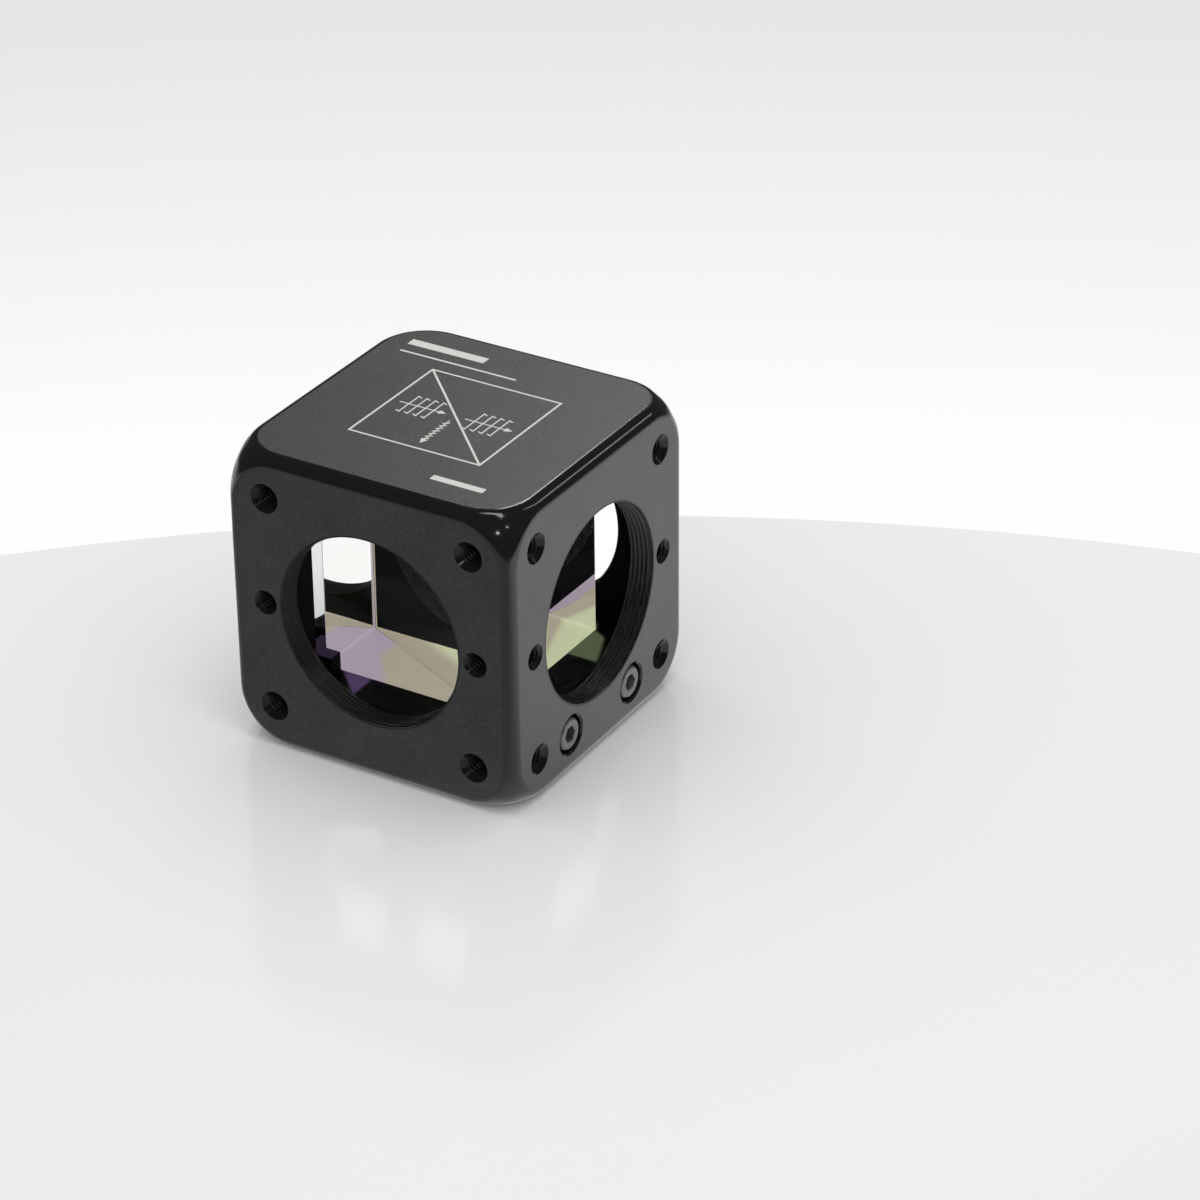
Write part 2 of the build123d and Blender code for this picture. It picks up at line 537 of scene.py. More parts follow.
def bumped(graph, height, distance, strength=1.0):
    """A normal raised by a height."""
    made = graph.node("ShaderNodeBump", {
        "Height": height, "Distance": distance, "Strength": strength})
    return made.outputs["Normal"]


def anodised(name, half, rim, lit=False):
    """Black anodised aluminium: blasted on the outer flats, glossy on the edges round them, which
    lie beyond the rim in two directions, and dull and darker inside the bores and the chamber, a darker
    colour that is partly painted shade."""
    colours = sizes().finish
    material, graph, surface = new_material(name)
    place, parts = object_place(graph)
    reach = [graph.math("ABSOLUTE", part) for part in parts]
    furthest = graph.chain("MAXIMUM", reach)
    nearest = graph.chain("MINIMUM", reach)
    total = graph.chain("ADD", reach)
    middle = graph.math("SUBTRACT", graph.math("SUBTRACT", total, furthest), nearest)
    normal = graph.node("ShaderNodeNewGeometry").outputs["Normal"]
    facing = graph.node("ShaderNodeVectorMath", {0: normal}, operation="ABSOLUTE").outputs[0]
    squarely = graph.ramp(graph.chain("MAXIMUM", graph.split(facing)), 0.9975, 0.9990)
    outermost = graph.ramp(furthest, half - 0.00009, half - 0.00004)
    flat = graph.math("MULTIPLY", outermost, squarely)
    edge = graph.ramp(middle, rim - 0.0001, rim + 0.0001)
    grain = graph.noise(place, 3600.0, 3.0, 0.7)
    cloud = graph.noise(place, 160.0, 2.0)
    spots = graph.noise(place, 1500.0, 1.0)
    tone = graph.math("MULTIPLY_ADD", cloud, 0.25, graph.math("MULTIPLY", grain, 0.75))
    tone = graph.ramp(tone, 0.32, 0.68)
    satin = graph.blend(tone, solid(scaled(colours.satin, 0.4)), solid(scaled(colours.satin, 1.6)))
    # The darker bore colour is partly painted shade in the bores and the chamber.
    paint = graph.blend(edge, solid(colours.bore), solid(colours.gloss))
    paint = graph.blend(flat, paint, satin)
    mouth_start, mouth_end = half - 0.0012, half - 0.0009
    rough_flat = graph.math("ADD", graph.ramp(grain, 0.3, 0.7, 0.26, 0.36),
                            graph.ramp(cloud, 0.3, 0.7, -0.02, 0.02))
    rough_edge = graph.ramp(spots, 0.3, 0.7, 0.11, 0.15)
    rough_bore = graph.math("ADD", graph.ramp(furthest, mouth_start, mouth_end, 0.45, 0.16),
                            graph.ramp(spots, 0.3, 0.7, -0.03, 0.03))
    rough = graph.mixed(flat, graph.mixed(edge, rough_bore, rough_edge), rough_flat)
    glint = graph.chain("MAXIMUM", [flat, edge, graph.ramp(furthest, mouth_start, mouth_end, 0.0, 0.6)])
    speckle = graph.mixed(flat, 1.0, graph.ramp(tone, 0.0, 1.0, 0.88, 1.56))
    shine = graph.math("MULTIPLY", graph.ramp(glint, 0.0, 1.0, 0.02, 0.72), speckle)
    blasted = bumped(graph, graph.math("MULTIPLY", grain, flat), 0.00003, 0.8)
    inputs = {"Base Color": paint, "Roughness": rough, "Normal": blasted, "IOR": 1.52,
              "Specular IOR Level": shine}
    if lit:
        inputs.update(platform_gleams(graph, parts, reach))
    shader = graph.node("ShaderNodeBsdfPrincipled", inputs)
    graph.tree.links.new(shader.outputs[0], surface)
    return material


def platform_gleams(graph, parts, reach):
    """The faint violet and green light that the glass throws on two corners of the platform and on
    the top of the lug, as inputs of a shader."""
    colours = sizes().finish
    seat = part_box("adhesive_pads")[0][2]
    near = graph.math("MINIMUM", reach[0], reach[1])
    far = graph.math("MAXIMUM", reach[0], reach[1])
    above = graph.math("ABSOLUTE", graph.math("SUBTRACT", parts[2], seat))
    on_seat = graph.ramp(above, 0.00005, 0.00015, 1.0, 0.0)
    same_signs = graph.ramp(graph.math("MULTIPLY", parts[0], parts[1]), 0.0, 0.000001)
    back_right = graph.ramp(parts[0], -0.001, 0.001)
    before_lug = graph.ramp(graph.math("ADD", reach[0], reach[1]), 0.0222, 0.0228, 1.0, 0.0)
    patch = graph.chain("MULTIPLY", [
        on_seat, same_signs, graph.math("MAXIMUM", back_right, before_lug),
        graph.ramp(near, 0.0056, 0.0061),
        graph.ramp(graph.math("MULTIPLY_ADD", near, 0.4, far), 0.0188, 0.0194, 1.0, 0.0),
        graph.ramp(graph.math("MULTIPLY_ADD", far, 0.5, near), 0.0186, 0.0192, 1.0, 0.0)])
    upwards = graph.split(graph.node("ShaderNodeNewGeometry").outputs["Normal"])[2]
    lug_top = graph.chain("MULTIPLY", [
        graph.ramp(upwards, 0.5, 0.9), graph.ramp(parts[2], seat + 0.0004, seat + 0.0006, 0.0, 0.3),
        graph.ramp(parts[0], -0.0104, -0.0100, 1.0, 0.0)])
    gleam = graph.blend(back_right, solid(colours.violet_gleam), solid(colours.green_gleam))
    return {"Emission Color": gleam, "Emission Strength": graph.math("MAXIMUM", patch, lug_top)}


def mottled(name, colour, shares, rough, grain, patches=None, spread=(0.3, 0.7), relief=None, inputs=()):
    """A finish between two shares of one colour, in coarse patches where they are given and else
    with the fine grain, which also changes the roughness and raises the relief."""
    material, graph, surface = new_material(name)
    place = object_place(graph)[0]
    fine = graph.noise(place, *grain)
    coarse = graph.noise(place, *patches) if patches else fine
    dark, pale = [solid(scaled(colour, share)) for share in shares]
    values = {"Base Color": graph.blend(graph.ramp(coarse, *spread), dark, pale),
              "Roughness": graph.ramp(fine, 0.3, 0.7, *rough)}
    values.update(inputs)
    if relief:
        values["Normal"] = bumped(graph, fine, *relief)
    shader = graph.node("ShaderNodeBsdfPrincipled", values)
    graph.tree.links.new(shader.outputs[0], surface)
    return material


def oxide_steel():
    """Black oxide steel of the cap screws, worn in patches."""
    return mottled("black_oxide", sizes().finish.oxide, (0.8, 1.6), (0.18, 0.28), (6000.0, 3.0),
                   patches=(900.0, 2.0), spread=(0.35, 0.75), relief=(0.000006, 0.5), inputs={"IOR": 1.8})


def thread_black():
    """Anodised thread flanks, in the darker bore colour, which is partly painted shade."""
    return mottled("anodised_thread", sizes().finish.bore, (0.8, 1.5), (0.36, 0.42), (1200.0, 2.0),
                   inputs={"IOR": 1.5, "Specular IOR Level": 0.50})


def laser_white():
    """The pale, slightly rough look of laser marks."""
    return mottled("laser_mark", sizes().finish.mark, (0.72, 1.15), (0.55, 0.75), (7000.0, 2.0),
                   spread=(0.25, 0.7), relief=(0.00001, 0.5))


def adhesive():
    """Cured, slightly cloudy adhesive."""
    return mottled("cured_adhesive", sizes().finish.pad, (0.85, 1.0), (0.35, 0.5), (900.0, 3.0),
                   relief=(0.00002, 0.4))


def coated_glass(graph, tinted, index):
    """Polished glass with an antireflection coating: it mirrors little until the light strikes from
    inside at an angle that can't get out."""
    bounce = graph.node("ShaderNodeFresnel", {"IOR": index}).outputs[0]
    share = graph.ramp(bounce, 0.25, 0.6, 0.012, 1.0)
    through = graph.node("ShaderNodeBsdfRefraction", {
        "Color": tinted, "Roughness": 0.0, "IOR": index})
    mirror = graph.node("ShaderNodeBsdfAnisotropic", {"Color": WHITE, "Roughness": 0.0})
    return graph.node("ShaderNodeMixShader", {0: share, 1: through.outputs[0], 2: mirror.outputs[0]})


def ground_glass(graph, place, parts, haze):
    """The ground underside and bevels with painted coloured light: violet on the front left, sand along
    the diagonal and green on the back right, and a painted glow for the light that they gather inside the
    glass."""
    glass = sizes().glass
    grain = graph.noise(place, 9000.0, 2.0)
    # Painted light: these zones stand in for the film's coloured light on the ground face, in colour and
    # in glow.
    lean = graph.math("MULTIPLY_ADD", graph.math("MINIMUM", parts[1], 0.0), glass.lean, parts[0])
    total = graph.math("ADD", parts[0], parts[1])
    past_violet = graph.math("MAXIMUM", graph.ramp(lean, glass.seam, glass.seam + glass.seam_blur),
                             graph.ramp(total, -0.0001, 0.0001))
    green = graph.ramp(total, glass.leaf_start, glass.leaf_end)
    colour = graph.blend(green, solid(glass.sand), solid(glass.leaf))
    colour = graph.blend(past_violet, solid(glass.violet), colour)
    colour = graph.blend(graph.ramp(grain, 0.3, 0.7, 0.0, 0.12), colour, solid((0.9, 0.9, 0.9)))
    return graph.node("ShaderNodeBsdfPrincipled", {
        "Base Color": colour, "Roughness": graph.ramp(haze, 0.3, 0.7, 0.5, 0.62),
        "Normal": bumped(graph, grain, 0.000008, 0.6), "Emission Color": colour,
        "Emission Strength": glass.glow})


def prism_glass():
    """Clear glass with a ground underside and ground bevels, cemented along the diagonal."""
    glass = sizes().glass
    material, graph, surface = new_material("prism_glass")
    place, parts = object_place(graph)
    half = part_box("front_prism")[1][2]
    haze = graph.noise(place, 120.0, 2.0)
    tinted = graph.blend(graph.ramp(haze, 0.3, 0.7), solid(glass.body), solid(scaled(glass.body, 0.995)))
    clear = coated_glass(graph, tinted, glass.index)
    ground = ground_glass(graph, place, parts, haze)
    reach = [graph.math("ABSOLUTE", part) for part in parts]
    under = graph.math("LESS_THAN", parts[2], glass.bevel * 0.95 - half)
    upright = graph.math("GREATER_THAN", graph.math("ADD", reach[0], reach[1]),
                         2 * half - glass.bevel * 1.1)
    first = graph.node("ShaderNodeMixShader", {
        0: graph.math("MAXIMUM", under, upright), 1: clear.outputs[0], 2: ground.outputs[0]})
    off_diagonal = graph.math("ABSOLUTE", graph.math("ADD", parts[0], parts[1]))
    cemented = graph.math("LESS_THAN", off_diagonal, 0.00006)
    through = graph.node("ShaderNodeBsdfTransparent", {"Color": WHITE})
    second = graph.node("ShaderNodeMixShader", {0: cemented, 1: first.outputs[0], 2: through.outputs[0]})
    graph.tree.links.new(second.outputs[0], surface)
    return material


def coating():
    """The polarizing film: part of the light goes through, part is mirrored."""
    material, graph, surface = new_material("polarizing_film")
    cloud = graph.ramp(graph.noise(object_place(graph)[0], 200.0, 2.0), 0.3, 0.7)
    through_tint = graph.blend(cloud, (0.995, 0.985, 0.97, 1.0), (0.985, 0.99, 0.975, 1.0))
    mirror_tint = graph.blend(cloud, (0.70, 0.62, 0.95, 1.0), (0.62, 0.66, 0.98, 1.0))
    through = graph.node("ShaderNodeBsdfTransparent", {"Color": through_tint})
    mirror = graph.node("ShaderNodeBsdfAnisotropic", {"Color": mirror_tint, "Roughness": 0.0})
    film = graph.node("ShaderNodeMixShader", {
        0: sizes().glass.mirrored, 1: through.outputs[0], 2: mirror.outputs[0]})
    graph.tree.links.new(film.outputs[0], surface)
    return material


# Geometry Nodes trees

def new_tree(name, inputs):
    """A geometry tree with named inputs after its geometry."""
    tree = bpy.data.node_groups.new(name, "GeometryNodeTree")
    tree.interface.new_socket("Geometry", in_out="INPUT", socket_type="NodeSocketGeometry")
    for label, kind in inputs.items():
        tree.interface.new_socket(label, in_out="INPUT", socket_type=kind)
    tree.interface.new_socket("Geometry", in_out="OUTPUT", socket_type="NodeSocketGeometry")
    graph = Graph(tree)
    given = graph.node("NodeGroupInput")
    result = graph.node("NodeGroupOutput")
    return tree, graph, given.outputs, result.inputs[0]


def grow(piece, tree, values):
    """Run a geometry tree on the piece with these inputs, and keep the result as its mesh."""
    modifier = piece.modifiers.new(tree.name, "NODES")
    modifier.node_group = tree
    for item in tree.interface.items_tree:
        if item.item_type == "SOCKET" and item.in_out == "INPUT" and item.name in values:
            modifier[item.identifier] = values[item.name]
    bake(piece)


def sleeve_tree():
    """A threaded sleeve round -z: a grid rolled up so that its rows run down the thread, out,
    back up the outside and in again."""
    number, whole = "NodeSocketFloat", "NodeSocketInt"
    tree, graph, given, result = new_tree("threaded_sleeve", {
        "Radius": number, "Height": number, "Pitch": number, "Length": number, "Start": number,
        "Jacket": number, "Around": whole, "Material": "NodeSocketMaterial"})
    columns = graph.math("ADD", given["Around"], 1.0)
    grid = graph.node("GeometryNodeMeshGrid", {
        "Size X": 1.0, "Size Y": 1.0, "Vertices X": columns, "Vertices Y": 61})
    spot = graph.node("GeometryNodeInputPosition").outputs[0]
    parts = graph.split(spot)
    turn = graph.math("ADD", parts[0], 0.5)
    row = graph.math("ADD", parts[1], 0.5)
    down = graph.ramp(row, 0.0, 0.85)
    back = graph.ramp(row, 0.85, 1.0, 0.0, 3.0)
    out = graph.math("SUBTRACT", graph.ramp(back, 0.0, 1.0), graph.ramp(back, 2.0, 3.0))
    deep = graph.math("SUBTRACT", down, graph.ramp(back, 1.0, 2.0))
    deep = graph.math("MULTIPLY", given["Length"], deep)
    turns = graph.math("SUBTRACT", graph.math("DIVIDE", deep, given["Pitch"]), turn)
    phase = graph.math("FRACT", graph.math("ADD", turns, 4.0))
    wave = graph.math("ABSOLUTE", graph.math("MULTIPLY_ADD", phase, 2.0, -1.0))
    crest = graph.ramp(wave, 0.12, 0.85)
    height = graph.math("MULTIPLY", given["Height"], crest)
    height = graph.math("MINIMUM", height, graph.math("SUBTRACT", deep, given["Start"]))
    height = graph.math("MINIMUM", height, graph.math("SUBTRACT", given["Length"], deep))
    height = graph.math("MAXIMUM", height, 0.0)
    inner = graph.math("SUBTRACT", given["Radius"], height)
    outer = graph.math("ADD", given["Radius"], given["Jacket"])
    reach = graph.math("ADD", inner, graph.math("MULTIPLY", out, graph.math("SUBTRACT", outer, inner)))
    angle = graph.math("MULTIPLY", turn, math.tau)
    x = graph.math("MULTIPLY", reach, graph.math("COSINE", angle))
    y = graph.math("MULTIPLY", reach, graph.math("SINE", angle))
    rolled = graph.node("ShaderNodeCombineXYZ", {0: x, 1: y, 2: graph.math("MULTIPLY", deep, -1.0)})
    moved = graph.node("GeometryNodeSetPosition", {
        "Geometry": grid.outputs["Mesh"], "Position": rolled.outputs[0]})
    merged = graph.node("GeometryNodeMergeByDistance", {
        "Geometry": moved.outputs[0], "Distance": 0.000001})
    real = graph.node("GeometryNodeRealizeInstances", {0: merged.outputs[0]})
    painted = graph.node("GeometryNodeSetMaterial", {
        "Geometry": real.outputs[0], "Material": given["Material"]})
    graph.tree.links.new(painted.outputs[0], result)
    return tree


def copies_tree():
    """Copies of a piece on points, each turned so that its z axis follows the point's outwards."""
    tree, graph, given, result = new_tree("copies_at_places", {
        "Piece": "NodeSocketObject", "Material": "NodeSocketMaterial"})
    piece = graph.node("GeometryNodeObjectInfo", {"Object": given["Piece"]})
    outwards = graph.node("GeometryNodeInputNamedAttribute", {"Name": "outwards"},
                          data_type="FLOAT_VECTOR")
    turned = graph.node("FunctionNodeAlignRotationToVector", {"Vector": outwards.outputs[0]}, axis="Z")
    placed = graph.node("GeometryNodeInstanceOnPoints", {
        "Points": given["Geometry"], "Instance": piece.outputs["Geometry"],
        "Rotation": turned.outputs[0]})
    real = graph.node("GeometryNodeRealizeInstances", {0: placed.outputs[0]})
    painted = graph.node("GeometryNodeSetMaterial", {
        "Geometry": real.outputs[0], "Material": given["Material"]})
    graph.tree.links.new(painted.outputs[0], result)
    return tree


def tree_named(name, maker):
    """The tree of that name, made once."""
    return bpy.data.node_groups.get(name) or maker()


def copies(name, pattern, places, material):
    """One mesh of copies of a pattern object at places given as 4x4 frames."""
    mesh = bpy.data.meshes.new(name)
    mesh.from_pydata([place.translation for place in places], [], [])
    outwards = mesh.attributes.new("outwards", "FLOAT_VECTOR", "POINT")
    for item, place in zip(outwards.data, places):
        item.vector = place.to_3x3() @ Vector((0, 0, 1))
    piece = add_object(name, mesh)
    grow(piece, tree_named("copies_at_places", copies_tree), {"Piece": pattern, "Material": material})
    if "outwards" in piece.data.attributes:
        piece.data.attributes.remove(piece.data.attributes["outwards"])
    bpy.data.objects.remove(pattern)
    return piece


def sleeve(radius, height, reach, start, jacket, around, material):
    """A threaded sleeve as a pattern object."""
    pattern = add_object("sleeve", bpy.data.meshes.new("sleeve"))
    grow(pattern, tree_named("threaded_sleeve", sleeve_tree), {
        "Radius": radius, "Height": height, "Pitch": sizes().thread.pitch, "Length": reach,
        "Start": start, "Jacket": jacket, "Around": around, "Material": material})
    return pattern


# Places

def shifted(place, x, y, z=0.0):
    """A frame moved within a face."""
    return place @ Matrix.Translation((x, y, z))


def rod_places():
    """Frames at the mouths of the cage rod holes."""
    half = sizes().housing.rod_spacing / 2
    return [shifted(face, x, y) for face in side_frames() for x in (-half, half) for y in (-half, half)]


def side_places():
    """Frames at the mouths of the holes beside the ports."""
    half = sizes().housing.side_spacing / 2
    return [shifted(face, x, 0) for face in side_frames() for x in (-half, half)]


def screw_places():
    """Frames where the cap screws sit, on the right and left faces."""
    screw = sizes().screw
    faces = side_frames()
    half = screw.spacing / 2
    return [shifted(face, x, -screw.drop) for face in (faces[1], faces[3]) for x in (-half, half)]


# Operators

class BEAM_OT_housing(bpy.types.Operator):
    """Build the black housing with its ports, holes and chamber"""
    bl_idname = "beamsplitter.housing"
    bl_label = "Housing"

    def execute(self, context):
        size = sizes().housing
        screw = sizes().screw
        half = size.side / 2
        bm = rounded_block(half - 0.0000001, size.edge, size.flat_corner)
        for vert in bm.verts:
            if vert.co.z > 0:
                vert.co.z -= size.mark_relief
        piece = add_object("housing_shell", mesh_from(bm, "housing_shell"))
        bm = bmesh.new()
        inside = half - size.wall
        slab(bm, rounded_square(inside, size.chamber_corner, 14), -half - 0.001, inside)
        carve(piece, bm, "DIFFERENCE")
        bm = bmesh.new()
        for face in side_frames():
            drill(bm, face, size.port, size.wall + 0.0005, size.port_mouth, around=192)
        carve(piece, bm, "DIFFERENCE")
        bm = bmesh.new()
        for place in rod_places():
            drill(bm, place, size.tapped, size.tapped_depth, size.rod_mouth)
        for place in side_places():
            drill(bm, place, size.tapped, size.tapped_depth, size.side_mouth)
        for place in screw_places():
            drill(bm, place, screw.pocket, screw.head_height + screw.seat, screw.pocket_mouth, around=64)
        carve(piece, bm, "DIFFERENCE")
        bm = bmesh.new()
        for place in screw_places():
            start = screw.head_height + screw.seat
            lathe(bm, place, [(0, 0.0005 - start), (screw.clearance, 0.0005 - start),
                              (screw.clearance, -size.wall - 0.001), (0, -size.wall - 0.001)], 48)
        carve(piece, bm, "DIFFERENCE")
        if len(piece.data.polygons) < 1000:
            raise RuntimeError("the housing's cuts failed")
        shade(piece)
        rim = half - size.edge - size.flat_corner * 0.36
        finish_piece(piece, anodised("anodised_housing", half, rim), ["housing"])
        return {"FINISHED"}


class BEAM_OT_threads(bpy.types.Operator):
    """Cut the threads of the ports and of the tapped holes"""
    bl_idname = "beamsplitter.threads"
    bl_label = "Threads"

    def execute(self, context):
        size = sizes().housing
        thread = sizes().thread
        black = thread_black()
        pattern = sleeve(size.port, thread.port_height, thread.port_length, size.port_mouth,
                         0.0004, 192, black)
        faces = [shifted(face, 0, 0, -0.00001) for face in side_frames()]
        made = [copies("port_threads", pattern, faces, black)]
        spare = 0.0001
        for name, mouth, places in (("rod_threads", size.rod_mouth, rod_places()),
                                    ("side_threads", size.side_mouth, side_places())):
            reach = size.tapped_depth - mouth - spare
            pattern = sleeve(size.tapped, thread.hole_height, reach, 0.0, 0.00008, 40, black)
            made.append(copies(name, pattern, [shifted(place, 0, 0, -mouth) for place in places], black))
        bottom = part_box("platform")[0][2]
        under = Matrix.Translation((0, 0, bottom + spare)) @ Matrix.Rotation(math.pi, 4, "X")
        pattern = sleeve(thread.post, thread.hole_height, thread.post_depth - 2 * spare, 0.0,
                         0.00008, 64, black)
        made.append(copies("post_thread", pattern, [under], black))
        for piece, slot in zip(made, ("housing", "housing", "housing", "platform")):
            shade(piece, 40, weighted=False)
            finish_piece(piece, black)
        return {"FINISHED"}


class BEAM_OT_screws(bpy.types.Operator):
    """Build the four socket head cap screws that hold the platform"""
    bl_idname = "beamsplitter.screws"
    bl_label = "Cap screws"

    def execute(self, context):
        size = sizes().screw
        ridge = 0.00007

        def knurled(angle):
            return size.head - ridge * abs(math.sin(angle * size.knurls / 2))

        def hexagon(angle):
            return size.socket / 2 / math.cos((angle + math.pi / 6) % (math.pi / 3) - math.pi / 6)

        top = -size.seat
        floor = top - size.head_height
        end = floor - size.shank_length
        profile = [(0, top - size.socket_depth - 0.0003), (hexagon, top - size.socket_depth),
                   (hexagon, top - 0.0001), (lambda angle: hexagon(angle) + 0.0001, top),
                   (size.head - size.head_break, top), (size.head - 0.0001, top - size.head_break * 0.6),
                   (size.head - 0.0001, top - size.head_break), (knurled, top - size.head_break - 0.0001),
                   (knurled, floor + 0.0003), (size.head - 0.0001, floor + 0.0002),
                   (size.head - 0.0001, floor), (size.shank, floor), (size.shank, end + 0.0003),
                   (size.shank - 0.0003, end), (0, end)]
        bm = bmesh.new()
        lathe(bm, Matrix.Identity(4), profile, 204)
        pattern = add_object("screw", mesh_from(bm, "screw"))
        steel = oxide_steel()
        piece = copies("cap_screws", pattern, screw_places(), steel)
        shade(piece, 30)
        finish_piece(piece, steel, ["platform_screws"])
        return {"FINISHED"}


class BEAM_OT_glass(bpy.types.Operator):
    """Finish the prisms and lay the polarizing film between them"""
    bl_idname = "beamsplitter.glass"
    bl_label = "Glass and film"

    def execute(self, context):
        size = sizes().glass
        clear = prism_glass()
        for name in ("front_prism", "back_prism"):
            paint_node(name, clear)
        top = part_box("front_prism")[1][2]
        half = top - size.inset
        reach = math.sqrt(2) * (top - 1.5 * size.bevel) - size.inset
        bm = bmesh.new()
        slab(bm, [(-reach, -size.film / 2), (reach, -size.film / 2),
                  (reach, size.film / 2), (-reach, size.film / 2)], -half, half)
        bm.transform(Matrix.Rotation(math.radians(-45), 4, "Z"))
        piece = add_object("coating_film", mesh_from(bm, "coating_film"))
        finish_piece(piece, coating(), ["polarizing_layer"])
        return {"FINISHED"}


def paint_node(name, material):
    """Give a CAD node a new material in all its slots."""
    node = frame["nodes"][name]
    for slot in node.material_slots:
        slot.material = material
    if not node.material_slots:
        node.data.materials.append(material)


class BEAM_OT_platform(bpy.types.Operator):
    """Finish the platform and the adhesive pads"""
    bl_idname = "beamsplitter.platform"
    bl_label = "Platform"

    def execute(self, context):
        size = sizes().pad
        half = sizes().housing.side / 2
        paint_node("platform", anodised("anodised_platform", half, half, lit=True))
        low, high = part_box("adhesive_pads")
        bm = bmesh.new()
        slab(bm, rounded_square(size.side / 2, size.corner, 6), low[2] - high[2], -size.gap)
        pattern = add_object("pad", mesh_from(bm, "pad"))
        reach = size.spacing / 2
        places = [Matrix.Translation((x, y, high[2])) for x in (-reach, reach) for y in (-reach, reach)]
        cured = adhesive()
        pads = copies("bond_pads", pattern, places, cured)
        finish_piece(pads, cured, ["adhesive_pads"])
        return {"FINISHED"}


class BEAM_OT_marks(bpy.types.Operator):
    """Draw the optical diagram and the plain bars on the top"""
    bl_idname = "beamsplitter.marks"
    bl_label = "Top marks"

    def execute(self, context):
        size = sizes().marks
        top = sizes().housing.side / 2
        low = top - size.depth
        bm = bmesh.new()
        reach = size.square / 2
        inner, outer = reach - size.line / 2, reach + size.line / 2
        for turn in range(4):
            corner = Matrix.Rotation(math.pi / 2 * turn, 2)
            side = [corner @ Vector(spot) for spot in
                    ((outer, -outer), (outer, outer), (inner, inner), (inner, -inner))]
            slab(bm, side, low, top)
        bar(bm, (-inner, inner), (inner, -inner), size.line, low, top - 0.000002)
        for start, end, width in MARK_BARS:
            bar(bm, [v * 0.001 for v in start], [v * 0.001 for v in end], width * 0.001, low, top)
        for tail, head in MARK_RAYS:
            arrow(bm, tail, head, size.fine, low, top - 0.000003)
        lines = add_object("top_marks", mesh_from(bm, "top_marks"))
        white = laser_white()
        finish_piece(lines, white)
        bm = bmesh.new()
        bar(bm, (0, -0.0023), (0, 0.0023), size.fine, -size.depth, 0)
        for side in (-1, 1):
            bar(bm, (-0.0001 * side, 0.0024 * side), (0.0006 * side, 0.0021 * side), size.fine,
                -size.depth, -0.000001)
        pattern = add_object("stroke", mesh_from(bm, "stroke"))
        step = 0.00125
        row = [start + step * index for start in (-0.0070, 0.0028) for index in range(size.strokes)]
        places = [Matrix.Translation((x, 0, top - 0.000001)) for x in row]
        strokes = copies("ray_strokes", pattern, places, white)
        finish_piece(strokes, white)
        bm = bmesh.new()
        bar(bm, (-0.00045, -0.00025), (0.00045, 0.00025), size.fine, -size.depth, 0)
        pattern = add_object("dash", mesh_from(bm, "dash"))
        places = [Matrix.Translation((0, -0.0022 - 0.0008 * index, top - 0.000001))
                  for index in range(7)]
        dots = copies("ray_dashes", pattern, places, white)
        finish_piece(dots, white)
        return {"FINISHED"}


def bar(bm, start, end, width, low, high):
    """A straight flat strip from start to end."""
    start, end = Vector(start), Vector(end)
    along = (end - start).normalized() * (width / 2)
    across = Vector((-along.y, along.x))
    slab(bm, [start - across, end - across, end + across, start + across], low, high)


def arrow(bm, tail, head, width, low, high):
    """A thin ray with an arrow head."""
    tail, head = Vector(tail), Vector(head)
    along = (head - tail).normalized()
    across = Vector((-along.y, along.x))
    neck = head - along * 0.0011
    bar(bm, tail, neck, width, low, high)
    slab(bm, [neck - across * 0.0005, head, neck + across * 0.0005], low, high)


def strip_lamp(name, start, end, reach, wide, power, receivers=None):
    """A lamp at a distance that runs between two directions as seen from the cube, and shines on
    the cube alone where receivers are given."""
    low = Vector(start).normalized() * reach
    high = Vector(end).normalized() * reach
    light = bpy.data.lights.new(name, "AREA")
    light.shape = "RECTANGLE"
    light.size = wide
    light.size_y = max(wide, (high - low).length)
    light.energy = power
    lamp = bpy.data.objects.new(name, light)
    bpy.context.scene.collection.objects.link(lamp)
    centre = (low + high) / 2
    out = centre.normalized()
    across = (high - low).cross(out).normalized()
    turned = Matrix((across, out.cross(across), out)).transposed().to_4x4()
    lamp.matrix_world = Matrix.Translation(centre) @ turned
    lamp.visible_camera = False
    if receivers:
        lamp.light_linking.receiver_collection = receivers


